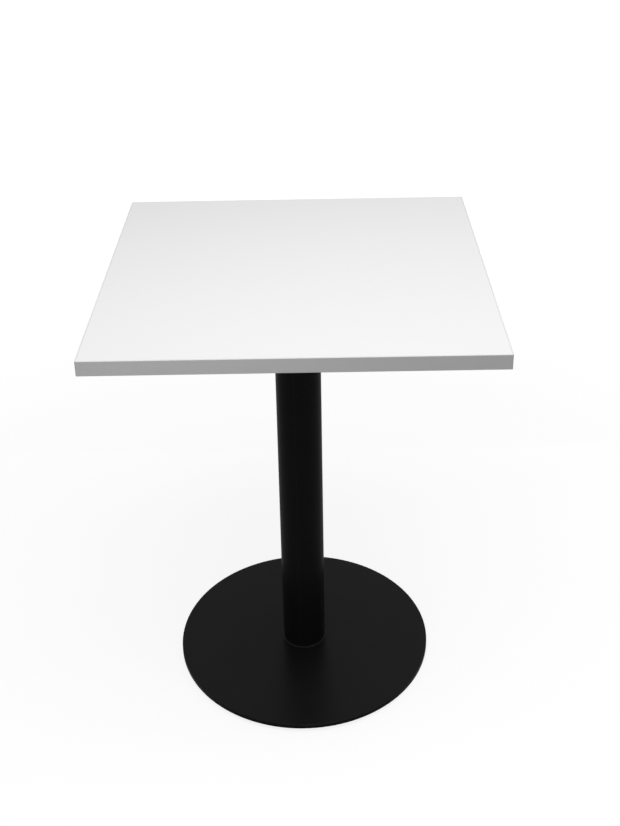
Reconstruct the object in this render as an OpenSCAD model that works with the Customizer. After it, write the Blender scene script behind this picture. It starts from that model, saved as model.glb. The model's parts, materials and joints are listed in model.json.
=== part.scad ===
// Square bistro table: a white laminate top on a round column and a flat round base plate.
// The pedestal is welded steel in black powder coat and stands on four levelling glides.
// Millimetres. The origin is on the floor under the column's axis, +Z up, the front edge at -Y.

/* [Table top] */
// Width of the top, left to right
top_w = 600; // [450:10:800]
// Depth of the top, front to back
top_d = 600; // [450:10:800]
// Thickness of the core board
core_t = 22; // [18:1:30]
// Thickness of the laminate sheet on each face of the core board
laminate_t = 0.6; // [0.4:0.1:1.2]
// Thickness of the edge band
band_t = 2; // [1:0.5:3]
// Rounding along the long edges of the edge band
band_edge_r = 0.75; // [0.5:0.25:3]
// Rounding of the top's four upright corners
corner_r = 2; // [1:0.5:5]

/* [Pedestal] */
// Height of the table, floor to upper face
table_h = 760; // [700:5:1100]
// Outer diameter of the column tube
column_d = 76; // [60:1:100]
// Wall of the column tube
column_wall = 2; // [1.5:0.5:4]
// Diameter of the base plate
base_d = 450; // [400:10:600]
// Thickness of the base plate
base_t = 8; // [6:1:12]
// Rounding of the base plate's upper rim
base_rim_r = 1; // [0.5:0.25:2.5]
// Rounding of the base plate's lower rim
base_lower_r = 0.5; // [0.25:0.25:1.5]
// Vent hole in the middle of the base plate, for the coating oven
vent_d = 10; // [6:1:20]
// Leg of the weld bead round the column's foot
foot_weld_leg = 2; // [1.5:0.5:4]
// Leg of the weld bead round the column's head
head_weld_leg = 3; // [2:0.5:5]

/* [Head spider] */
// Thickness of the spider plate
spider_t = 5; // [4:0.5:8]
// How far the spider's hub reaches past the column all round
hub_margin = 17; // [12:1:30]
// Spacing of the screws into the top, along X and along Y
screw_spacing = 230; // [200:5:320]
// Width of a spider arm where it leaves the hub
arm_root_w = 52; // [40:2:64]
// Width of a spider arm round its screw
arm_tip_w = 32; // [26:2:38]
// Thickness of the gussets under the arms
gusset_t = 4; // [3:0.5:8]
// Height of a gusset at the column
gusset_h = 36; // [20:2:60]
// Height of a gusset at its outer end
gusset_end_h = 8; // [4:1:12]
// Gap between a gusset's outer end and the washer beyond it
gusset_end_gap = 8; // [4:1:20]

/* [Fasteners] */
// Thread diameter of the screws into the top
screw_d = 6; // [5:0.5:8]
// Length of those screws under the head
screw_len = 16; // [14:1:18]
// Diameter of the screw head
screw_head_d = 10.5; // [10:0.5:14]
// Height of the screw head
screw_head_h = 3.3; // [3:0.1:5]
// Key size of the hexagon socket in the screw head
screw_key = 4; // [3:0.5:5]
// Outer diameter of the washers
washer_d = 12; // [11:0.5:18]
// Thickness of the washers
washer_t = 1.6; // [1:0.1:2.5]
// Outer diameter of the threaded inserts in the core board
insert_d = 10; // [9.5:0.5:13]
// Length of the threaded inserts
insert_len = 13; // [10:1:15]

/* [Levelling glides] */
// Distance from the base plate's rim in to the axis of a glide
glide_inset = 30; // [22:1:60]
// Diameter of a glide's pad
pad_d = 30; // [24:1:40]
// Thickness of a glide's pad
pad_t = 5; // [5:0.5:8]
// Rounding of the pad's lower edge
pad_edge_r = 1; // [0.5:0.25:2]
// Thread diameter of a glide's stud
stud_d = 8; // [7:0.5:10]
// Width across the flats of the stud's collar
collar_af = 14; // [13:0.5:19]
// Height of the stud's collar
collar_h = 3; // [2:0.5:5]
// Diameter of the flange that holds the stud in its pad
flange_d = 11; // [10:0.5:16]
// Thickness of that flange
flange_t = 1.6; // [1:0.1:2]

/* [Clearances] */
// Radial clearance of a thread in its hole
thread_clear = 0.05; // [0.02:0.01:0.1]
// Radial clearance of a screw in a washer or in the spider
screw_clear = 0.3; // [0.2:0.05:0.5]
// Clearance all round the stud's flange and neck in the pad
swivel_clear = 0.3; // [0.2:0.05:0.4]
// Gap beyond the end of a stud or an insert in its blind hole
tip_gap = 0.5; // [0.3:0.1:1]

/* [Hidden] */
$fn = 96;

// Levels, from the floor up
base_z = pad_t + collar_h;
base_top_z = base_z + base_t;
top_t = core_t + 2 * laminate_t;
top_z = table_h - top_t;
core_z = top_z + laminate_t;
spider_z = top_z - spider_t;
washer_z = spider_z - washer_t;

// Table top
core_w = top_w - 2 * band_t;
core_d = top_d - 2 * band_t;
band_round = min(band_edge_r, band_t);
corner_round = min(corner_r, 3 * band_t);

// Head spider
column_r = column_d / 2;
arm_len = screw_spacing / sqrt(2);
arm_angles = [45, 135, 225, 315];
cope = head_weld_leg + 2;
weld_crown = 0.6;

// Threaded inserts: each ridge and groove of the outside takes half a step
ridge_step = 2.6;
ridge_depth = 0.8;

// Glides
glide_circle_r = base_d / 2 - glide_inset;
glide_angles = [225, 315, 45, 135];
stud_hole_skin = 1.5;
stud_len = base_t - stud_hole_skin - tip_gap;
neck_d = stud_d - 2;
pad_floor_t = 1.5;
flange_z = pad_floor_t + swivel_clear;
cut = 1;

// ---- shapes that repeat ----

// A rectangle about the origin with its corners rounded
module rounded_rect(w, h, r) {
    square([w, h - 2 * r], center = true);
    square([w - 2 * r, h], center = true);
    for (x = [-1, 1], y = [-1, 1])
        translate([x * (w / 2 - r), y * (h / 2 - r)])
            circle(r);
}

// Half the section of a disc whose lower and upper rims are rounded
module disc_section(r, h, lower_r, upper_r) {
    translate([0, lower_r])
        square([r, h - lower_r - upper_r]);
    square([r - lower_r, h / 2]);
    translate([r - lower_r, lower_r])
        circle(lower_r);
    translate([0, h / 2])
        square([r - upper_r, h / 2]);
    translate([r - upper_r, h - upper_r])
        circle(upper_r);
}

// Places its children at each screw of the head spider
module at_screws() {
    for (a = arm_angles)
        rotate(a)
            translate([arm_len, 0, 0])
                children();
}

// Places its children on the axis of one glide
module at_glide(i) {
    rotate(glide_angles[i - 1])
        translate([glide_circle_r, 0, 0])
            children();
}

// A slightly crowned fillet weld round a tube, growing up from z = 0
module weld_ring(tube_r, leg) {
    rotate_extrude()
        polygon([
            [tube_r, 0],
            [tube_r + leg, 0],
            [tube_r + weld_crown * leg, weld_crown * leg],
            [tube_r, leg]
        ]);
}

// ---- table top ----

// The whole top with its long edges and its upright corners rounded
module top_envelope() {
    translate([0, 0, top_z])
        linear_extrude(top_t)
            rounded_rect(top_w, top_d, corner_round);
}

// The same top as a prism along Y and as a prism along X, for the rounded long edges
module edge_envelope() {
    translate([0, 0, top_z + top_t / 2])
        intersection() {
            rotate([90, 0, 0])
                linear_extrude(top_d, center = true)
                    rounded_rect(top_w, top_t, band_round);
            rotate([90, 0, 90])
                linear_extrude(top_w, center = true)
                    rounded_rect(top_d, top_t, band_round);
        }
}

// One strip of the edge band, cut from the rounded top: its outer face is at [x, y]
module edge_band(x, y, w, d) {
    color("whitesmoke")
        intersection() {
            top_envelope();
            edge_envelope();
            translate([x - w / 2, y - d / 2, top_z])
                cube([w, d, top_t]);
        }
}

module edge_band_front() {
    edge_band(0, -(top_d - band_t) / 2, top_w, band_t);
}

module edge_band_back() {
    edge_band(0, (top_d - band_t) / 2, top_w, band_t);
}

module edge_band_left() {
    edge_band(-(top_w - band_t) / 2, 0, band_t, core_d);
}

module edge_band_right() {
    edge_band((top_w - band_t) / 2, 0, band_t, core_d);
}

module core_board() {
    color("burlywood")
        difference() {
            translate([-core_w / 2, -core_d / 2, core_z])
                cube([core_w, core_d, core_t]);
            at_screws()
                translate([0, 0, core_z - cut])
                    cylinder(h = cut + insert_len + tip_gap, d = insert_d);
        }
}

module top_laminate() {
    color("white")
        translate([-core_w / 2, -core_d / 2, core_z + core_t])
            cube([core_w, core_d, laminate_t]);
}

module underside_laminate() {
    color("gainsboro")
        difference() {
            translate([-core_w / 2, -core_d / 2, top_z])
                cube([core_w, core_d, laminate_t]);
            at_screws()
                translate([0, 0, top_z - cut])
                    cylinder(h = laminate_t + 2 * cut, d = insert_d);
        }
}

// Screw-in sleeves, ridged outside to bite in the board, with a thread for the screw inside
module threaded_inserts() {
    ridge_r = insert_d / 2 - thread_clear;
    color("goldenrod")
        at_screws()
            translate([0, 0, core_z])
                difference() {
                    union() {
                        cylinder(h = insert_len, r = ridge_r - ridge_depth);
                        for (z = [0:ridge_step:insert_len - ridge_step / 2])
                            translate([0, 0, z])
                                cylinder(h = ridge_step / 2, r = ridge_r);
                    }
                    translate([0, 0, -cut])
                        cylinder(h = insert_len + 2 * cut, d = screw_d);
                }
}

// ---- head of the pedestal ----

// One arm of the spider, its edges running smoothly into the round end about the screw
module arm_outline() {
    root_r = arm_root_w / 2;
    tip_r = arm_tip_w / 2;
    taper = asin((root_r - tip_r) / arm_len);
    polygon([
        [root_r * sin(taper), -root_r * cos(taper)],
        [arm_len + tip_r * sin(taper), -tip_r * cos(taper)],
        [arm_len + tip_r * sin(taper), tip_r * cos(taper)],
        [root_r * sin(taper), root_r * cos(taper)]
    ]);
    translate([arm_len, 0])
        circle(tip_r);
}

module top_spider() {
    color([0.11, 0.11, 0.115])
        difference() {
            translate([0, 0, spider_z])
                linear_extrude(spider_t)
                    union() {
                        circle(column_r + hub_margin);
                        for (a = arm_angles)
                            rotate(a)
                                arm_outline();
                    }
            at_screws()
                translate([0, 0, spider_z - cut])
                    cylinder(h = spider_t + 2 * cut, r = screw_d / 2 + screw_clear);
        }
}

// Triangular ribs between the column and the arms, clipped to clear the weld bead
module arm_gussets() {
    inner_x = column_r;
    outer_x = arm_len - washer_d / 2 - gusset_end_gap;
    color([0.11, 0.11, 0.115])
        for (a = arm_angles)
            rotate(a)
                translate([0, 0, spider_z])
                    rotate([90, 0, 0])
                        linear_extrude(gusset_t, center = true)
                            polygon([
                                [inner_x + cope, 0],
                                [inner_x, -cope],
                                [inner_x, -gusset_h],
                                [outer_x, -gusset_end_h],
                                [outer_x, 0]
                            ]);
}

module head_weld() {
    color([0.11, 0.11, 0.115])
        translate([0, 0, spider_z])
            mirror([0, 0, 1])
                weld_ring(column_r, head_weld_leg);
}

module spider_washers() {
    color("silver")
        at_screws()
            translate([0, 0, washer_z])
                difference() {
                    cylinder(h = washer_t, d = washer_d);
                    translate([0, 0, -cut])
                        cylinder(h = washer_t + 2 * cut, r = screw_d / 2 + screw_clear);
                }
}

// Button-head screws, driven up through washer, arm and insert
module spider_screws() {
    dome_r = (pow(screw_head_d / 2, 2) + pow(screw_head_h, 2)) / (2 * screw_head_h);
    color("silver")
        at_screws()
            translate([0, 0, washer_z])
                difference() {
                    union() {
                        cylinder(h = screw_len, r = screw_d / 2 - thread_clear);
                        intersection() {
                            translate([0, 0, dome_r - screw_head_h])
                                sphere(dome_r);
                            mirror([0, 0, 1])
                                cylinder(h = screw_head_h, d = screw_head_d);
                        }
                    }
                    translate([0, 0, -screw_head_h - cut])
                        cylinder(h = cut + screw_head_h * 0.6, d = screw_key / cos(30), $fn = 6);
                }
}

// ---- column and base ----

module column_tube() {
    tube_len = spider_z - base_top_z;
    color([0.11, 0.11, 0.115])
        translate([0, 0, base_top_z])
            difference() {
                cylinder(h = tube_len, r = column_r);
                translate([0, 0, -cut])
                    cylinder(h = tube_len + 2 * cut, r = column_r - column_wall);
            }
}

module foot_weld() {
    color([0.11, 0.11, 0.115])
        translate([0, 0, base_top_z])
            weld_ring(column_r, foot_weld_leg);
}

// Flat disc with four blind tapped holes for the glides and a vent hole into the column
module base_plate() {
    color([0.13, 0.13, 0.135])
        difference() {
            translate([0, 0, base_z])
                rotate_extrude()
                    disc_section(base_d / 2, base_t, base_lower_r, base_rim_r);
            for (i = [1:4])
                at_glide(i)
                    translate([0, 0, base_z - cut])
                        cylinder(h = cut + base_t - stud_hole_skin, d = stud_d);
            translate([0, 0, base_z - cut])
                cylinder(h = base_t + 2 * cut, d = vent_d);
        }
}

// ---- levelling glides ----

// Moulded pad with an undercut pocket for the stud's flange
module glide_pad(i) {
    color([0.08, 0.08, 0.08])
        at_glide(i)
            difference() {
                rotate_extrude()
                    disc_section(pad_d / 2, pad_t, pad_edge_r, pad_edge_r / 2);
                translate([0, 0, pad_floor_t])
                    cylinder(h = flange_t + 2 * swivel_clear, r = flange_d / 2 + swivel_clear);
                translate([0, 0, pad_floor_t])
                    cylinder(h = pad_t, r = neck_d / 2 + swivel_clear);
            }
}

// Steel stud: flange and neck in the pad, hexagon collar, then the thread in the base plate
module glide_stud(i) {
    color("silver")
        at_glide(i) {
            translate([0, 0, flange_z])
                cylinder(h = flange_t, d = flange_d);
            translate([0, 0, flange_z])
                cylinder(h = pad_t - flange_z + collar_h / 2, d = neck_d);
            translate([0, 0, pad_t])
                cylinder(h = collar_h, d = collar_af / cos(30), $fn = 6);
            translate([0, 0, base_z - collar_h / 2])
                cylinder(h = collar_h / 2 + stud_len, r = stud_d / 2 - thread_clear);
        }
}

core_board();
top_laminate();
underside_laminate();
edge_band_front();
edge_band_back();
edge_band_left();
edge_band_right();
threaded_inserts();
spider_washers();
spider_screws();
top_spider();
arm_gussets();
head_weld();
column_tube();
foot_weld();
base_plate();
for (i = [1:4])
    glide_pad(i);
for (i = [1:4])
    glide_stud(i);
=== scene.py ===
"""Bistro table: white laminate top, black powder-coated pedestal, four levelling glides."""

import json
import math

import bpy
from mathutils import Matrix, Vector


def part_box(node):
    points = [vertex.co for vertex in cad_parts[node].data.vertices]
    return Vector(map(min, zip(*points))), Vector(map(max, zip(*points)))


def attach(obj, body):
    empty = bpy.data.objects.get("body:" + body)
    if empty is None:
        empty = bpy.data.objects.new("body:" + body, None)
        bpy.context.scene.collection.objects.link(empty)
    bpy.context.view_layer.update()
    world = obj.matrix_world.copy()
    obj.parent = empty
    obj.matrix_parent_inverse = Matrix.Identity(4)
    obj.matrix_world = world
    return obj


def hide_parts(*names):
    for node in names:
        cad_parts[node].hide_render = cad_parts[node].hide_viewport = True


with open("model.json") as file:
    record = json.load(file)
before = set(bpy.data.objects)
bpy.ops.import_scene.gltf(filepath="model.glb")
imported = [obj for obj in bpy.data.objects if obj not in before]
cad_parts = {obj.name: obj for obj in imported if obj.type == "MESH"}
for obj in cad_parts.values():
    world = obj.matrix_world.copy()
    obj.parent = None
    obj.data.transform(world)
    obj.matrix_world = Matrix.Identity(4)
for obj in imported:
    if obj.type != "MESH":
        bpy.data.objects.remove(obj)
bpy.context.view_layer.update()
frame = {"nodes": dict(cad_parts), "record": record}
nodes = frame["nodes"]

MM = 0.001

# ---- sizes of the small parts, in millimetres ------------------------------------------------

# Places and outer sizes come from the frame; these are what its plain solids leave out
M8_PITCH = 1.25
M6_PITCH = 1.0
THREAD_DEPTH_PER_PITCH = 0.61
THREAD_ROOT_FROM = 0.44     # where its flat root starts, in pitches from the middle of the crest
THREAD_FLANK = 0.38         # how much of the pitch one flank takes
RINGS_A_TURN = 10           # rings that draw one turn of a thread

STUD_FLANGE_D = 11
STUD_FLANGE_T = 1.6
STUD_FLANGE_CHAMFER = 0.3
STUD_NECK_D = 6
STUD_COLLAR_AF = 14         # across the flats of its hexagon
STUD_COLLAR_H = 3
STUD_FACE_MARGIN = 0.1      # how much wider the collar's turned face is than its flats
STUD_THREAD_D = 7.9
STUD_THREAD_LEN = 6
STUD_UNDERCUT = 0.2         # between the collar and the first turn of the thread
STUD_POINT_H = 0.5          # height of the chamfer at the thread's end
STUD_POINT_IN = 0.4         # how far it reaches in past the thread's root
STUD_COLUMNS = 72
# How high the collar's chamfer has risen, and what share of the way to the corners it has gone
COLLAR_CHAMFER = [(0.0, 0.0), (0.12, 0.25), (0.25, 0.5), (0.4, 0.78), (0.55, 1.0)]

SCREW_HEAD_D = 10.5
SCREW_HEAD_H = 3.3
SCREW_RIM_H = 0.5           # height of the upright rim under the dome
SCREW_RIM_CHAMFER_H = 0.1
SCREW_RIM_CHAMFER_IN = 0.15
SCREW_KEY = 4
SCREW_KEY_DEPTH = 2
SCREW_KEY_MARGIN = 0.35     # from the corners of the socket to where the dome starts
SCREW_CROWN_RING = 0.1      # width of the flat ring between the socket's bevel and the dome
SCREW_KEY_BEVEL = 0.25
SCREW_KEY_POINT = 0.5       # cone that the drill leaves at the socket's bottom
SCREW_FILLET = 0.3          # under the head
SCREW_THREAD_D = 5.9
SCREW_UNDERCUT = 0.1        # between the fillet and the first turn of the thread
SCREW_POINT_H = 0.6         # height of the chamfer at the thread's end
SCREW_POINT_IN = 0.5        # how far it reaches in past the thread's root
SCREW_DOME_RINGS = 7
SCREW_COLUMNS = 48

BEAD_RIPPLE = 2.4           # spacing of the ripples along a weld bead
BEAD_RIPPLE_H = 0.07
BEAD_CROWN = 0.6            # where the middle of a bead's face lies, in shares of its leg
BEAD_SWEEP = 1.6            # how strongly a ripple bends back towards the bead's toes
BEAD_BANDS = 6              # rows of faces from toe to toe
BEAD_COLUMNS_A_RIPPLE = 6

COAT_EDGE = 0.4             # rounding that blasting and the powder coat give to a cut edge
WASHER_EDGE = 0.2           # rounding that punching gives to a washer
EDGE_FROM = 40              # degrees between two faces from where their edge is rounded
CRISP_FROM = 35             # degrees between two faces from where their edge looks crisp
COLUMN_SEAM_AT = -10.4      # degrees from the front, where the rolled tube was welded shut
SEAM_HALF_ANGLE = 0.04      # radians from the seam's middle to its side, 1.5 mm on the tube
GLUE_LINE = 0.2             # width of the glue line between laminate and edge band

LAMINATE_HALF_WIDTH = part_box("top_laminate")[1][0] / MM
BASE_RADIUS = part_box("base_plate")[1][0] / MM
BASE_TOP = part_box("base_plate")[1][2] / MM
RIM_WEAR_AND_HIGHLIGHT_REACH = 1.0              # how far in and down from the plate's upper rim the coat is drawn lighter, as wear and painted highlight
RIM_WEAR_AND_HIGHLIGHT_FULL = 0.3         # within this share of that distance it is drawn lighter in full


# ---- camera ----------------------------------------------------------------------------------

# Where the photograph was taken from, found by fitting the top, the column and the base plate
CAMERA_AT = Vector((0.0313, -1.7240, 1.5409))
CAMERA_TURN = math.radians(0.29)     # to the left, seen from above
CAMERA_PITCH = math.radians(24.96)   # below the horizon
CAMERA_ROLL = math.radians(-1.07)
LONG_SIDE_PX = 826
FOCAL_PX = 1189.8
OPTICAL_AXIS_PX = 279.4              # row of the photograph that looks straight along the lens
SENSOR_MM = 36.0


def place_camera():
    """A view from standing height, about two steps in front of the table."""
    data = bpy.data.cameras.new("camera")
    data.sensor_width = SENSOR_MM
    data.lens = FOCAL_PX * SENSOR_MM / LONG_SIDE_PX
    data.shift_y = (OPTICAL_AXIS_PX - LONG_SIDE_PX / 2) / LONG_SIDE_PX
    camera = bpy.data.objects.new("camera", data)
    bpy.context.scene.collection.objects.link(camera)
    camera.matrix_world = (
        Matrix.Translation(CAMERA_AT)
        @ Matrix.Rotation(CAMERA_TURN, 4, "Z")
        @ Matrix.Rotation(math.pi / 2 - CAMERA_PITCH, 4, "X")
        @ Matrix.Rotation(CAMERA_ROLL, 4, "Z")
    )
    bpy.context.scene.camera = camera


# ---- colours and nodes -----------------------------------------------------------------------

def linear(hex_colour):
    """An sRGB hex colour as linear RGBA."""
    coded = [int(hex_colour[i:i + 2], 16) / 255 for i in (1, 3, 5)]
    return tuple(c / 12.92 if c <= 0.04045 else ((c + 0.055) / 1.055) ** 2.4 for c in coded) + (1.0,)


def grain(size_mm):
    """The scale of a texture whose grains are size_mm across."""
    return 1 / (size_mm * MM)


def add(tree, kind, settings=None, links=None):
    """Adds one node. settings holds its properties and socket values; links holds what feeds its
    sockets, each an output or a node whose first output is meant."""
    made = tree.nodes.new(kind)
    for key, value in (settings or {}).items():
        if isinstance(key, int) or key in made.inputs:
            made.inputs[key].default_value = value
        else:
            setattr(made, key, value)
    for key, source in (links or {}).items():
        tree.links.new(getattr(source, "outputs", [source])[0], made.inputs[key])
    return made


def new_material(name):
    """A material, its empty node tree, and the table's own coordinates in metres."""
    material = bpy.data.materials.new(name)
    material.use_nodes = True
    tree = material.node_tree
    tree.nodes.clear()
    return material, tree, add(tree, "ShaderNodeTexCoord").outputs["Object"]


# ---- materials -------------------------------------------------------------------------------

def white_melamine_laminate():
    """Decor paper under melamine resin, pressed against a pearled steel plate.

    The pearl breaks the light into a broad, even sheen, and wiping leaves wide, faint streaks in it.
    """
    material, tree, place = new_material("white_melamine_laminate")
    # The real pearl is 0.4 mm; at 1.5 mm it just shows in a picture of the whole table
    pearl = add(tree, "ShaderNodeTexNoise", {"Scale": grain(1.5), "Detail": 3.0}, {"Vector": place})
    tone = add(tree, "ShaderNodeMix", {
        "data_type": "RGBA", 6: linear("#f1f1f1"), 7: linear("#eeeeee"),
    }, {0: pearl})
    wiping = add(tree, "ShaderNodeMapping", {
        "Scale": (1.0, 0.25, 1.0), "Rotation": (0, 0, 0.35),
    }, {"Vector": place})
    streaks = add(tree, "ShaderNodeTexNoise", {
        "Scale": grain(60.0), "Detail": 2.0,
    }, {"Vector": wiping})
    sheen = add(tree, "ShaderNodeMapRange", {
        "From Min": 0.3, "From Max": 0.7, "To Min": 0.5, "To Max": 0.58,
    }, {"Value": streaks})
    skin = add(tree, "ShaderNodeBump", {"Distance": 0.02 * MM}, {"Height": pearl})
    laminate = add(tree, "ShaderNodeBsdfPrincipled", {"IOR": 1.5, "Specular IOR Level": 0.2}, {
        "Base Color": tone.outputs[2], "Roughness": sheen, "Normal": skin,
    })
    add(tree, "ShaderNodeOutputMaterial", None, {"Surface": laminate})
    return material


def white_abs_edge_band():
    """ABS strip, extruded, glued on with hot melt, then milled and scraped flush.

    It is drawn a shade greyer than the laminate, as painted shade on the edge faces. It has faint lines
    along its length from the scraper, and the glue shows as a hairline where it meets the laminate.
    """
    material, tree, place = new_material("white_abs_edge_band")
    # The scraper's lines are 0.3 mm apart; drawn at 1.2 mm, as coarse as a picture needs
    lengthways = add(tree, "ShaderNodeMapping", {"Scale": (0.02, 0.02, 1.0)}, {"Vector": place})
    lines = add(tree, "ShaderNodeTexNoise", {
        "Scale": grain(1.2), "Detail": 3.0,
    }, {"Vector": lengthways})
    mottle = add(tree, "ShaderNodeTexNoise", {"Scale": grain(18.0)}, {"Vector": place})
    # The band's white is drawn greyer than the laminate's: painted shade that darkens the edge faces
    band_tone_and_painted_shade = add(tree, "ShaderNodeMix", {
        "data_type": "RGBA", 6: linear("#e4e4e4"), 7: linear("#e0e0e0"),
    }, {0: mottle})
    # The glue line lies where the larger of |x| and |y| reaches the laminate's edge
    axes = add(tree, "ShaderNodeSeparateXYZ", None, {0: place})
    sideways = add(tree, "ShaderNodeMath", {"operation": "ABSOLUTE"}, {0: axes.outputs["X"]})
    forward = add(tree, "ShaderNodeMath", {"operation": "ABSOLUTE"}, {0: axes.outputs["Y"]})
    from_middle = add(tree, "ShaderNodeMath", {"operation": "MAXIMUM"}, {0: sideways, 1: forward})
    glue = add(tree, "ShaderNodeMath", {
        "operation": "LESS_THAN", 1: (LAMINATE_HALF_WIDTH + GLUE_LINE) * MM,
    }, {0: from_middle})
    glued = add(tree, "ShaderNodeMix", {
        "data_type": "RGBA", 7: linear("#cbcbca"),
    }, {0: glue, 6: band_tone_and_painted_shade.outputs[2]})
    scraped = add(tree, "ShaderNodeMapRange", {
        "From Min": 0.3, "From Max": 0.7, "To Min": 0.36, "To Max": 0.46,
    }, {"Value": lines})
    skin = add(tree, "ShaderNodeBump", {"Distance": 0.015 * MM}, {"Height": lines})
    band = add(tree, "ShaderNodeBsdfPrincipled", {"IOR": 1.53, "Specular IOR Level": 0.35}, {
        "Base Color": glued.outputs[2], "Roughness": scraped, "Normal": skin,
    })
    add(tree, "ShaderNodeOutputMaterial", None, {"Surface": band})
    return material


def matt_backing_laminate():
    """Unprinted balancing sheet, pressed with a plain matt plate: off-white, dull, faintly cloudy."""
    material, tree, place = new_material("matt_backing_laminate")
    cloud = add(tree, "ShaderNodeTexNoise", {"Scale": grain(35.0), "Detail": 4.0}, {"Vector": place})
    tone = add(tree, "ShaderNodeMix", {
        "data_type": "RGBA", 6: linear("#dfdfdc"), 7: linear("#d5d5d1"),
    }, {0: cloud})
    # Paper fibre is finer than 0.3 mm; 1 mm is what a close picture can show
    fibre = add(tree, "ShaderNodeTexNoise", {"Scale": grain(1.0), "Detail": 3.0}, {"Vector": place})
    dullness = add(tree, "ShaderNodeMapRange", {"To Min": 0.5, "To Max": 0.72}, {"Value": fibre})
    skin = add(tree, "ShaderNodeBump", {"Distance": 0.02 * MM}, {"Height": fibre})
    laminate = add(tree, "ShaderNodeBsdfPrincipled", {"IOR": 1.5, "Specular IOR Level": 0.3}, {
        "Base Color": tone.outputs[2], "Roughness": dullness, "Normal": skin,
    })
    add(tree, "ShaderNodeOutputMaterial", None, {"Surface": laminate})
    return material


def particle_board():
    """Softwood chips, glued and pressed: flat pale and brown flakes that lie every way."""
    material, tree, place = new_material("particle_board")
    lying = add(tree, "ShaderNodeMapping", {"Scale": (0.6, 1.0, 2.4)}, {"Vector": place})
    chips = add(tree, "ShaderNodeTexVoronoi", {"Scale": grain(3.0)}, {"Vector": lying})
    shade = add(tree, "ShaderNodeSeparateColor", None, {0: chips.outputs["Color"]})
    flake = add(tree, "ShaderNodeMix", {
        "data_type": "RGBA", 6: linear("#c9ad80"), 7: linear("#96754a"),
    }, {0: shade})
    fibre = add(tree, "ShaderNodeTexNoise", {"Scale": grain(0.6), "Detail": 3.0}, {"Vector": place})
    streak = add(tree, "ShaderNodeMapRange", {
        "From Min": 0.35, "From Max": 0.75, "To Min": 0.0, "To Max": 0.5,
    }, {"Value": fibre})
    wood = add(tree, "ShaderNodeMix", {
        "data_type": "RGBA", 7: linear("#7a5c38"),
    }, {0: streak, 6: flake.outputs[2]})
    rough = add(tree, "ShaderNodeMapRange", {"To Min": 0.75, "To Max": 0.95}, {"Value": fibre})
    gaps = add(tree, "ShaderNodeBump", {"Distance": 0.25 * MM}, {"Height": chips})
    board = add(tree, "ShaderNodeBsdfPrincipled", {"Specular IOR Level": 0.2}, {
        "Base Color": wood.outputs[2], "Roughness": rough, "Normal": gaps,
    })
    add(tree, "ShaderNodeOutputMaterial", None, {"Surface": board})
    return material


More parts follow.
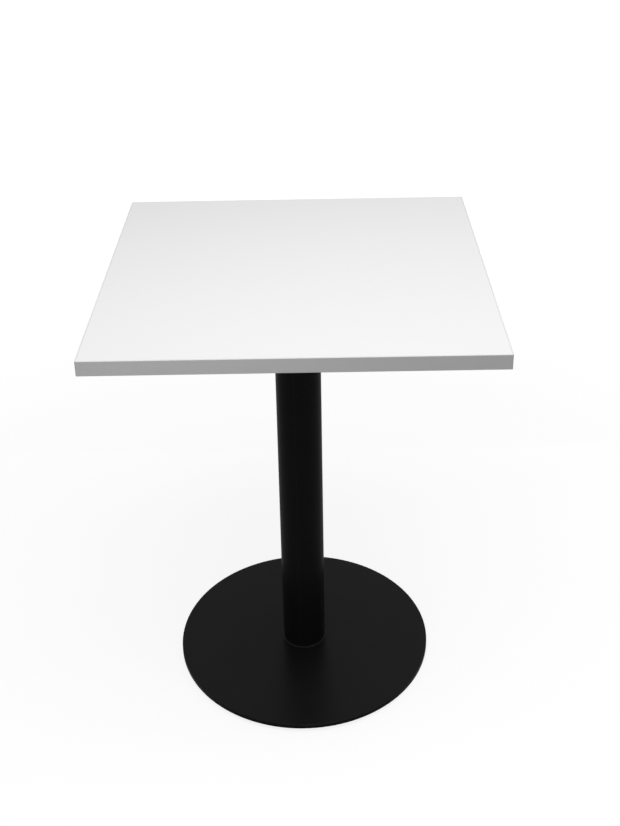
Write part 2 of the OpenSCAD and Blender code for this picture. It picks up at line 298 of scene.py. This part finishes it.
def black_powder_coat(name, rim=None, seam_at=None):
    """Polyester powder, sprayed on blasted steel and baked.

    It melts into a fine orange peel that softens reflections, and the fine texture traps light, so it
    shines much less than smooth paint. A few grains of dust are baked in. Along a rim the coat is drawn
    lighter in patches, partly as rubbed wear and partly as a painted highlight on the rounded edge.
    Over a tube's weld seam it stands up in a faint ridge, drawn as a lighter line that is a painted
    highlight.
    """
    material, tree, place = new_material(name)
    # Orange peel is 0.8 mm from crest to crest; drawn at 2 mm, so that a whole view can show it
    peel = add(tree, "ShaderNodeTexNoise", {"Scale": grain(2.0)}, {"Vector": place})
    flow = add(tree, "ShaderNodeTexNoise", {"Scale": grain(40.0)}, {"Vector": place})
    sheen = add(tree, "ShaderNodeMapRange", {
        "From Min": 0.3, "From Max": 0.7, "To Min": 0.28, "To Max": 0.33,
    }, {"Value": flow})
    tone = add(tree, "ShaderNodeMix", {
        "data_type": "RGBA", 6: linear("#171718"), 7: linear("#1b1b1c"),
    }, {0: flow})
    grit = add(tree, "ShaderNodeTexVoronoi", {"Scale": grain(12.0)}, {"Vector": place})
    nib = add(tree, "ShaderNodeMapRange", {
        "From Min": 0.02, "From Max": 0.05, "To Min": 1.0, "To Max": 0.0,
    }, {"Value": grit})
    colour = add(tree, "ShaderNodeMix", {
        "data_type": "RGBA", 7: linear("#3a3a3a"),
    }, {0: nib, 6: tone.outputs[2]})
    pebbled = add(tree, "ShaderNodeBump", {"Distance": 0.03 * MM}, {"Height": peel})
    skin = add(tree, "ShaderNodeBump", {"Distance": 0.1 * MM}, {"Height": nib, "Normal": pebbled})
    if rim:
        radius, top = rim
        flat = add(tree, "ShaderNodeVectorMath", {"operation": "MULTIPLY", 1: (1, 1, 0)}, {0: place})
        reach = add(tree, "ShaderNodeVectorMath", {"operation": "LENGTH"}, {0: flat})
        outer = add(tree, "ShaderNodeMapRange", {
            "From Min": (radius - RIM_WEAR_AND_HIGHLIGHT_REACH) * MM,
            "From Max": (radius - RIM_WEAR_AND_HIGHLIGHT_FULL * RIM_WEAR_AND_HIGHLIGHT_REACH) * MM,
        }, {"Value": reach.outputs["Value"]})
        axes = add(tree, "ShaderNodeSeparateXYZ", None, {0: place})
        upper = add(tree, "ShaderNodeMapRange", {
            "From Min": (top - RIM_WEAR_AND_HIGHLIGHT_REACH) * MM,
            "From Max": (top - RIM_WEAR_AND_HIGHLIGHT_FULL * RIM_WEAR_AND_HIGHLIGHT_REACH) * MM,
        }, {"Value": axes.outputs["Z"]})
        edge = add(tree, "ShaderNodeMath", {"operation": "MULTIPLY"}, {0: outer, 1: upper})
        patches = add(tree, "ShaderNodeTexNoise", {
            "Scale": grain(9.0), "Detail": 3.0,
        }, {"Vector": place})
        rubbed_and_highlight_patches = add(tree, "ShaderNodeMapRange", {
            "From Min": 0.4, "From Max": 0.65, "To Min": 0.1, "To Max": 0.6,
        }, {"Value": patches})
        wear_and_painted_highlight = add(tree, "ShaderNodeMath", {"operation": "MULTIPLY"}, {0: edge, 1: rubbed_and_highlight_patches})
        # The lighter rim is partly rubbed wear and partly a painted highlight on the rounded upper edge
        colour = add(tree, "ShaderNodeMix", {
            "data_type": "RGBA", 7: linear("#3c3c3e"),
        }, {0: wear_and_painted_highlight, 6: colour.outputs[2]})
    if seam_at is not None:
        axes = add(tree, "ShaderNodeSeparateXYZ", None, {0: place})
        to_front = add(tree, "ShaderNodeMath", {
            "operation": "MULTIPLY", 1: -1.0,
        }, {0: axes.outputs["Y"]})
        turn = add(tree, "ShaderNodeMath", {
            "operation": "ARCTAN2",
        }, {0: axes.outputs["X"], 1: to_front})
        off_seam = add(tree, "ShaderNodeMath", {
            "operation": "SUBTRACT", 1: math.radians(seam_at),
        }, {0: turn})
        aside = add(tree, "ShaderNodeMath", {"operation": "ABSOLUTE"}, {0: off_seam})
        seam_ridge_and_highlight = add(tree, "ShaderNodeMapRange", {
            "From Max": SEAM_HALF_ANGLE, "To Min": 1.0, "To Max": 0.0,
        }, {"Value": aside})
        skin = add(tree, "ShaderNodeBump", {"Distance": 0.06 * MM}, {"Height": seam_ridge_and_highlight, "Normal": skin})
        # The lighter tone over the seam is a painted highlight; the seam's ridge is the bump above
        colour = add(tree, "ShaderNodeMix", {
            "data_type": "RGBA", 7: linear("#1f1f20"),
        }, {0: seam_ridge_and_highlight, 6: colour.outputs[2]})
    coat = add(tree, "ShaderNodeBsdfPrincipled", {"IOR": 1.5, "Specular IOR Level": 0.061}, {
        "Base Color": colour.outputs[2], "Roughness": sheen, "Normal": skin,
    })
    add(tree, "ShaderNodeOutputMaterial", None, {"Surface": coat})
    return material


def black_moulded_nylon():
    """Nylon moulded in a spark-eroded tool: matt and finely sanded all over, scuffed grey low down."""
    material, tree, place = new_material("black_moulded_nylon")
    # Spark erosion leaves a 0.2 mm grain; drawn at 0.5 mm for a close view
    sanded = add(tree, "ShaderNodeTexNoise", {"Scale": grain(0.5), "Detail": 3.0}, {"Vector": place})
    axes = add(tree, "ShaderNodeSeparateXYZ", None, {0: place})
    low = add(tree, "ShaderNodeMapRange", {
        "From Max": 1.4 * MM, "To Min": 1.0, "To Max": 0.0,
    }, {"Value": axes.outputs["Z"]})
    marks = add(tree, "ShaderNodeTexNoise", {"Scale": grain(3.0), "Detail": 4.0}, {"Vector": place})
    scuffs = add(tree, "ShaderNodeMapRange", {
        "From Min": 0.45, "From Max": 0.7, "To Max": 0.8,
    }, {"Value": marks})
    scuffed = add(tree, "ShaderNodeMath", {"operation": "MULTIPLY"}, {0: low, 1: scuffs})
    colour = add(tree, "ShaderNodeMix", {
        "data_type": "RGBA", 6: linear("#151515"), 7: linear("#4a4a48"),
    }, {0: scuffed})
    dullness = add(tree, "ShaderNodeMapRange", {"To Min": 0.45, "To Max": 0.65}, {"Value": sanded})
    skin = add(tree, "ShaderNodeBump", {"Distance": 0.02 * MM}, {"Height": sanded})
    nylon = add(tree, "ShaderNodeBsdfPrincipled", {"IOR": 1.53, "Specular IOR Level": 0.4}, {
        "Base Color": colour.outputs[2], "Roughness": dullness, "Normal": skin,
    })
    add(tree, "ShaderNodeOutputMaterial", None, {"Surface": nylon})
    return material


def bright_zinc_plate():
    """Turned or punched steel, zinc plated and passivated: silvery, faintly blue and yellow."""
    material, tree, place = new_material("bright_zinc_plate")
    passivation = add(tree, "ShaderNodeTexNoise", {"Scale": grain(3.0)}, {"Vector": place})
    tint = add(tree, "ShaderNodeMix", {
        "data_type": "RGBA", 6: linear("#c4c8cf"), 7: linear("#cfccc0"),
    }, {0: passivation})
    # Tool marks run round the axis, 0.1 mm apart; drawn at 0.25 mm
    around = add(tree, "ShaderNodeMapping", {"Scale": (0.05, 0.05, 1.0)}, {"Vector": place})
    marks = add(tree, "ShaderNodeTexNoise", {"Scale": grain(0.25)}, {"Vector": around})
    polish = add(tree, "ShaderNodeMapRange", {"To Min": 0.2, "To Max": 0.4}, {"Value": marks})
    skin = add(tree, "ShaderNodeBump", {"Distance": 0.006 * MM}, {"Height": marks})
    plate = add(tree, "ShaderNodeBsdfPrincipled", {"Metallic": 1.0}, {
        "Base Color": tint.outputs[2], "Roughness": polish, "Normal": skin,
    })
    add(tree, "ShaderNodeOutputMaterial", None, {"Surface": plate})
    return material


def cast_zinc():
    """Zinc alloy, die cast and tumbled: duller and greyer than the plated steel, with a grainy skin."""
    material, tree, place = new_material("cast_zinc")
    grains = add(tree, "ShaderNodeTexNoise", {"Scale": grain(0.5), "Detail": 4.0}, {"Vector": place})
    tone = add(tree, "ShaderNodeMix", {
        "data_type": "RGBA", 6: linear("#acaaa2"), 7: linear("#8c8a84"),
    }, {0: grains})
    dullness = add(tree, "ShaderNodeMapRange", {"To Min": 0.35, "To Max": 0.65}, {"Value": grains})
    skin = add(tree, "ShaderNodeBump", {"Distance": 0.03 * MM}, {"Height": grains})
    zinc = add(tree, "ShaderNodeBsdfPrincipled", {"Metallic": 1.0}, {
        "Base Color": tone.outputs[2], "Roughness": dullness, "Normal": skin,
    })
    add(tree, "ShaderNodeOutputMaterial", None, {"Surface": zinc})
    return material


def finish(piece, material):
    """Gives a piece its only material."""
    piece.data.materials.clear()
    piece.data.materials.append(material)


# ---- pieces that are turned or run round an axis ---------------------------------------------

def turned(name, rings, columns, centre, closed=False):
    """A skin through rings of (height, radius) about the upright axis at centre, in millimetres.

    The rings run up the outside and down the inside. A radius may be a function of the angle. The last
    ring joins the first if closed, and otherwise both ends run in to a point on the axis.
    """
    verts, faces = [], []
    for height, radius in rings:
        for k in range(columns):
            angle = 2 * math.pi * k / columns
            r = radius(angle) if callable(radius) else radius
            verts.append((centre[0] + r * math.cos(angle), centre[1] + r * math.sin(angle), height))
    count = len(rings)
    for i in range(count if closed else count - 1):
        here, above = i * columns, (i + 1) % count * columns
        for k in range(columns):
            after = (k + 1) % columns
            faces.append((here + k, here + after, above + after, above + k))
    if not closed:
        start, end, last = len(verts), len(verts) + 1, (count - 1) * columns
        verts.append((centre[0], centre[1], rings[0][0]))
        verts.append((centre[0], centre[1], rings[-1][0]))
        for k in range(columns):
            after = (k + 1) % columns
            faces.append((start, after, k))
            faces.append((end, last + k, last + after))
    return piece_from(name, verts, faces)


def piece_from(name, verts, faces):
    """A smooth-shaded piece, crisp where its faces meet at a clear angle."""
    mesh = bpy.data.meshes.new(name)
    mesh.from_pydata([Vector(v) * MM for v in verts], [], faces)
    mesh.shade_smooth()
    mesh.set_sharp_from_angle(angle=math.radians(CRISP_FROM))
    piece = bpy.data.objects.new(name, mesh)
    bpy.context.scene.collection.objects.link(piece)
    return piece


def joined(name, pieces):
    """Makes several pieces into one object."""
    bpy.ops.object.select_all(action="DESELECT")
    for piece in pieces:
        piece.select_set(True)
    bpy.context.view_layer.objects.active = pieces[0]
    bpy.ops.object.join()
    pieces[0].name = name
    return pieces[0]


def hexagon(across_flats, trimmed_to=None, corner_at=0.0):
    """The radius of a hexagon at any angle, cut back to a circle where that is smaller."""
    def radius(angle):
        from_flat = (angle - corner_at) % (math.pi / 3) - math.pi / 6
        flat = across_flats / 2 / math.cos(from_flat)
        return min(flat, trimmed_to) if trimmed_to else flat
    return radius


def thread(diameter, pitch, start, length):
    """The rings of a right-handed metric thread, which runs out at both ends."""
    depth = THREAD_DEPTH_PER_PITCH * pitch
    steps = round(length / pitch * RINGS_A_TURN)

    def ring(i):
        height = start + length * i / steps
        run_out = min(1.0, (i + 1) / RINGS_A_TURN, (steps - i + 1) / RINGS_A_TURN)

        def radius(angle):
            from_crest = abs((height / pitch - angle / (2 * math.pi)) % 1 - 0.5)
            seam_ridge_and_highlight = min(1.0, max(0.0, (THREAD_ROOT_FROM - from_crest) / THREAD_FLANK))
            return diameter / 2 - depth + depth * seam_ridge_and_highlight * run_out
        return height, radius
    return [ring(i) for i in range(steps + 1)]


def middle_mm(node):
    """The middle of a node's box from above, and its lowest and highest levels, in millimetres."""
    low, high = (Vector(corner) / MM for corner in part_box(node))
    return ((low.x + high.x) / 2, (low.y + high.y) / 2), low.z, high.z


def glide_stud(number):
    """Turned stud: flange and neck in the pad, hexagon collar, M8 thread in the base plate."""
    node = f"glide_stud_{number}"
    centre, low, high = middle_mm(node)
    flange_r = STUD_FLANGE_D / 2
    neck_r = STUD_NECK_D / 2
    flange_top = low + STUD_FLANGE_T
    rings = [(low, flange_r - STUD_FLANGE_CHAMFER), (low + STUD_FLANGE_CHAMFER, flange_r)]
    rings.append((flange_top - STUD_FLANGE_CHAMFER, flange_r))
    rings.append((flange_top, flange_r - STUD_FLANGE_CHAMFER))
    rings.append((flange_top, neck_r))
    collar_top = high - STUD_THREAD_LEN
    collar_low = collar_top - STUD_COLLAR_H
    rings.append((collar_low, neck_r))
    # The collar points a corner at the column. Turning leaves a chamfer, with an arc on each flat
    corner_at = math.atan2(centre[1], centre[0])
    face_r = STUD_COLLAR_AF / 2 + STUD_FACE_MARGIN
    span = STUD_COLLAR_AF / math.sqrt(3) - face_r
    for rise, share in COLLAR_CHAMFER:
        rings.append((collar_low + rise, hexagon(STUD_COLLAR_AF, face_r + share * span, corner_at)))
    for rise, share in reversed(COLLAR_CHAMFER):
        rings.append((collar_top - rise, hexagon(STUD_COLLAR_AF, face_r + share * span, corner_at)))
    root_r = STUD_THREAD_D / 2 - THREAD_DEPTH_PER_PITCH * M8_PITCH
    rings.append((collar_top, root_r))
    thread_low = collar_top + STUD_UNDERCUT
    rings += thread(STUD_THREAD_D, M8_PITCH, thread_low, high - STUD_POINT_H - thread_low)
    rings.append((high, root_r - STUD_POINT_IN))
    return turned(f"turned_stud_{number}", rings, STUD_COLUMNS, centre)


def button_head_screw(number, centre, low, high):
    """Cold-headed M6 screw, head down: hexagon socket in a domed head, then a full-length thread."""
    shoulder = low + SCREW_HEAD_H
    key_bottom = low + SCREW_KEY_DEPTH
    head_r = SCREW_HEAD_D / 2
    crown_r = SCREW_KEY / math.sqrt(3) + SCREW_KEY_MARGIN
    rings = [(key_bottom + SCREW_KEY_POINT, SCREW_KEY_POINT), (key_bottom, hexagon(SCREW_KEY))]
    rings.append((low + SCREW_KEY_BEVEL, hexagon(SCREW_KEY)))
    rings += [(low, crown_r - SCREW_CROWN_RING), (low, crown_r)]
    # The dome is an arc from the flat crown to the rim
    rim_high = shoulder - SCREW_RIM_CHAMFER_H
    rim_low = rim_high - SCREW_RIM_H
    for i in range(1, SCREW_DOME_RINGS + 1):
        turn = math.pi / 2 * i / SCREW_DOME_RINGS
        rings.append((
            rim_low - (rim_low - low) * math.cos(turn),
            crown_r + (head_r - crown_r) * math.sin(turn),
        ))
    rings += [(rim_high, head_r), (shoulder, head_r - SCREW_RIM_CHAMFER_IN)]
    root_r = SCREW_THREAD_D / 2 - THREAD_DEPTH_PER_PITCH * M6_PITCH
    rings += [(shoulder, root_r + SCREW_FILLET), (shoulder + SCREW_FILLET, root_r)]
    thread_low = shoulder + SCREW_FILLET + SCREW_UNDERCUT
    rings += thread(SCREW_THREAD_D, M6_PITCH, thread_low, high - SCREW_POINT_H - thread_low)
    rings.append((high, root_r - SCREW_POINT_IN))
    return turned(f"screw_{number}", rings, SCREW_COLUMNS, centre)


def button_head_screws():
    """The four screws, at the corners of the CAD node's box."""
    low, high = (Vector(corner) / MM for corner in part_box("spider_screws"))
    reach = (high.x - low.x - SCREW_HEAD_D) / 2
    corners = [(-reach, -reach), (reach, -reach), (reach, reach), (-reach, reach)]
    screws = [button_head_screw(i + 1, corners[i], low.z, high.z) for i in range(4)]
    return joined("button_head_screws", screws)


def weld_bead(name, node, upward):
    """A fillet bead round the column, laid in overlapping puddles that show as ripples."""
    low, high = (Vector(corner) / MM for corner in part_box(node))
    outer_r = (high.x - low.x) / 2
    leg = high.z - low.z
    tube_r = outer_r - leg
    root, rise = (low.z, 1) if upward else (high.z, -1)
    ripples = round(2 * math.pi * tube_r / BEAD_RIPPLE)
    rings = [(root, tube_r), (root, outer_r)]
    for i in range(1, BEAD_BANDS):
        share = i / BEAD_BANDS
        bulge = (BEAD_CROWN - 0.5) * math.sin(math.pi * share)

        def radius(angle, share=share, bulge=bulge):
            # Each ripple bends back from the middle of the bead to its toes
            lag = BEAD_SWEEP * (share - 0.5) ** 2
            ripple = 0.5 + 0.5 * math.cos(ripples * angle + 2 * math.pi * lag)
            face = tube_r + leg * (1 - share + bulge)
            return face - BEAD_RIPPLE_H * ripple ** 3 * math.sin(math.pi * share)
        rings.append((root + rise * leg * (share + bulge), radius))
    rings.append((root + rise * leg, tube_r))
    if not upward:
        rings.reverse()
    return turned(name, rings, ripples * BEAD_COLUMNS_A_RIPPLE, (0, 0), closed=True)


def soften_edges(piece, width_mm):
    """Blasting and coating leave no knife edges on cut and punched steel."""
    eased = piece.modifiers.new("eased_edges", "BEVEL")
    eased.width = width_mm * MM
    eased.segments = 2
    eased.limit_method = "ANGLE"
    eased.angle_limit = math.radians(EDGE_FROM)


# ---- stage -----------------------------------------------------------------------------------

FLOOR_HALF_WIDTH = 15.0         # metres
FLOOR_CLEAR_OF_TABLE = 1.0      # metres from the column where the floor starts to whiten out
FLOOR_WHITE_FROM = 2.4          # metres from the column where it is pure white
FLOOR_DARK_WITHIN = (BASE_RADIUS - 60) * MM     # hardly any light gets this far under the plate
FLOOR_LIT_FROM = (BASE_RADIUS - 12) * MM        # and from here on it is lit as beside the plate
FLOOR_IN_GLOSS = 0.2            # the top shades the floor that the pedestal mirrors
FLOOR_GLOW = 0.86               # of white near the table; the lamps add the rest, except in shadow
FLOOR_GLOW_UNDER_PLATE = 0.15   # the share of that which is left under the middle of the plate
BACKDROP_IN_GLOSS = 1.0
WALLS_AS_LIGHT = 0.25           # how bright the backdrop is as a lamp, where white is 1


def seen(tree, in_gloss):
    """1 for what is seen straight or through glass, in_gloss for what gloss shows, 0 for light."""
    rays = add(tree, "ShaderNodeLightPath").outputs
    straight = add(tree, "ShaderNodeMath", {"operation": "MAXIMUM"}, {
        0: rays["Is Camera Ray"], 1: rays["Is Transmission Ray"],
    })
    return add(tree, "ShaderNodeMath", {"operation": "MULTIPLY_ADD", 1: in_gloss}, {
        0: rays["Is Glossy Ray"], 2: straight,
    })


def studio_floor():
    """A pale floor that whitens out to the backdrop and keeps a light, soft shadow of the table.

    It is painted dark under the base plate, where no light gets in: a painted contact shadow in its
    glow.
    Seen from below it is clear, so that a low view shows the glides and the underside.
    """
    mesh = bpy.data.meshes.new("floor")
    corners = [(-1, -1, 0), (1, -1, 0), (1, 1, 0), (-1, 1, 0)]
    mesh.from_pydata([Vector(corner) * FLOOR_HALF_WIDTH for corner in corners], [], [(0, 1, 2, 3)])
    floor = bpy.data.objects.new("floor", mesh)
    bpy.context.scene.collection.objects.link(floor)
    material, tree, place = new_material("pale_floor_paint")
    away = add(tree, "ShaderNodeVectorMath", {"operation": "LENGTH"}, {0: place})
    glow = add(tree, "ShaderNodeMapRange", {
        "From Min": FLOOR_CLEAR_OF_TABLE, "From Max": FLOOR_WHITE_FROM,
        "To Min": FLOOR_GLOW, "To Max": 1.0,
    }, {"Value": away.outputs["Value"]})
    # A painted contact shadow: the glow is drawn down under the base plate, where no light gets in
    painted_plate_shadow = add(tree, "ShaderNodeMapRange", {
        "From Min": FLOOR_DARK_WITHIN, "From Max": FLOOR_LIT_FROM,
        "To Min": FLOOR_GLOW_UNDER_PLATE, "To Max": 1.0,
    }, {"Value": away.outputs["Value"]})
    glow_left = add(tree, "ShaderNodeMath", {"operation": "MULTIPLY"}, {0: glow, 1: painted_plate_shadow})
    bounce = add(tree, "ShaderNodeBsdfDiffuse", {"Color": linear("#a2a2a2")})
    shaded = add(tree, "ShaderNodeBsdfDiffuse", {"Color": linear("#828282")})
    white = add(tree, "ShaderNodeEmission", None, {"Strength": glow_left})
    shown = add(tree, "ShaderNodeAddShader", None, {0: shaded, 1: white})
    looked_at = seen(tree, FLOOR_IN_GLOSS)
    paint = add(tree, "ShaderNodeMixShader", None, {0: looked_at, 1: bounce, 2: shown})
    clear = add(tree, "ShaderNodeBsdfTransparent")
    under = add(tree, "ShaderNodeNewGeometry").outputs["Backfacing"]
    whole = add(tree, "ShaderNodeMixShader", None, {0: under, 1: paint, 2: clear})
    add(tree, "ShaderNodeOutputMaterial", None, {"Surface": whole})
    mesh.materials.append(material)


def studio_world():
    """White to the eye and in gloss, dim as a lamp, so that the softboxes model the form."""
    world = bpy.data.worlds.new("studio")
    bpy.context.scene.world = world
    world.use_nodes = True
    tree = world.node_tree
    tree.nodes.clear()
    white = linear("#ffffff")
    walls = add(tree, "ShaderNodeBackground", {"Color": white, "Strength": WALLS_AS_LIGHT})
    backdrop = add(tree, "ShaderNodeBackground", {"Color": white, "Strength": 1.0})
    looked_at = seen(tree, BACKDROP_IN_GLOSS)
    studio = add(tree, "ShaderNodeMixShader", None, {0: looked_at, 1: walls, 2: backdrop})
    add(tree, "ShaderNodeOutputWorld", None, {"Surface": studio})


def softbox(name, at, aim, width, depth, watts, in_gloss=True):
    """A flat rectangular lamp that faces a point, and that gloss may show or leave out."""
    data = bpy.data.lights.new(name, "AREA")
    data.shape = "RECTANGLE"
    data.size = width
    data.size_y = depth
    data.energy = watts
    lamp = bpy.data.objects.new(name, data)
    bpy.context.scene.collection.objects.link(lamp)
    lamp.location = at
    lamp.rotation_euler = (Vector(aim) - Vector(at)).to_track_quat("-Z", "Y").to_euler()
    lamp.visible_camera = False
    lamp.visible_glossy = in_gloss


# ---- put together ----------------------------------------------------------------------------

place_camera()
studio_floor()
studio_world()
# The main light, above the front of the table and a little to the right
softbox("overhead_softbox", at=(0.17, -0.55, 2.45), aim=(0, 0, 0.7), width=2.0, depth=1.2, watts=31.2)
# Lifts the left half of the front edge
softbox(
    "left_reflector", at=(-0.25, -0.8, 0.6), aim=(-0.12, -0.3, 0.75), width=0.4, depth=0.4, watts=0.3,
)
# What a pale floor returns to the rear edge and the underside, so gloss doesn't show it as a lamp
softbox(
    "low_rear_fill", at=(0, 0.75, 0.03), aim=(0, 0.55, 0.75), width=1.4, depth=0.9, watts=8,
    in_gloss=False,
)

powder = black_powder_coat("black_powder_coat")
zinc = bright_zinc_plate()
FINISHES = {
    "white_laminate": white_melamine_laminate(),
    "backing_laminate": matt_backing_laminate(),
    "white_edge_band": white_abs_edge_band(),
    "core_board": particle_board(),
    "black_powder_coat": powder,
    "black_nylon": black_moulded_nylon(),
    "zinc_steel": zinc,
    "zinc_insert": cast_zinc(),
}
# These two wear the same coat, with marks of their own
MARKED = {
    "base_plate": black_powder_coat("black_powder_coat_on_plate", rim=(BASE_RADIUS, BASE_TOP)),
    "column_tube": black_powder_coat("black_powder_coat_on_tube", seam_at=COLUMN_SEAM_AT),
}
for part in frame["record"]["subparts"]:
    node, slot = part["node"], part["material_slot"]
    finish(nodes[node], MARKED.get(node, FINISHES[slot]))

for name in ("top_spider", "arm_gussets"):
    soften_edges(nodes[name], COAT_EDGE)
soften_edges(nodes["spider_washers"], WASHER_EDGE)

for number in range(1, 5):
    stud = glide_stud(number)
    finish(stud, zinc)
    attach(stud, f"stud_{number}")
    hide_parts(f"glide_stud_{number}")

screws = button_head_screws()
finish(screws, zinc)
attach(screws, "table")
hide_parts("spider_screws")

for name, node, upward in (("foot_bead", "foot_weld", True), ("head_bead", "head_weld", False)):
    bead = weld_bead(name, node, upward)
    finish(bead, powder)
    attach(bead, "table")
    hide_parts(node)

bpy.context.scene.view_settings.view_transform = "Standard"
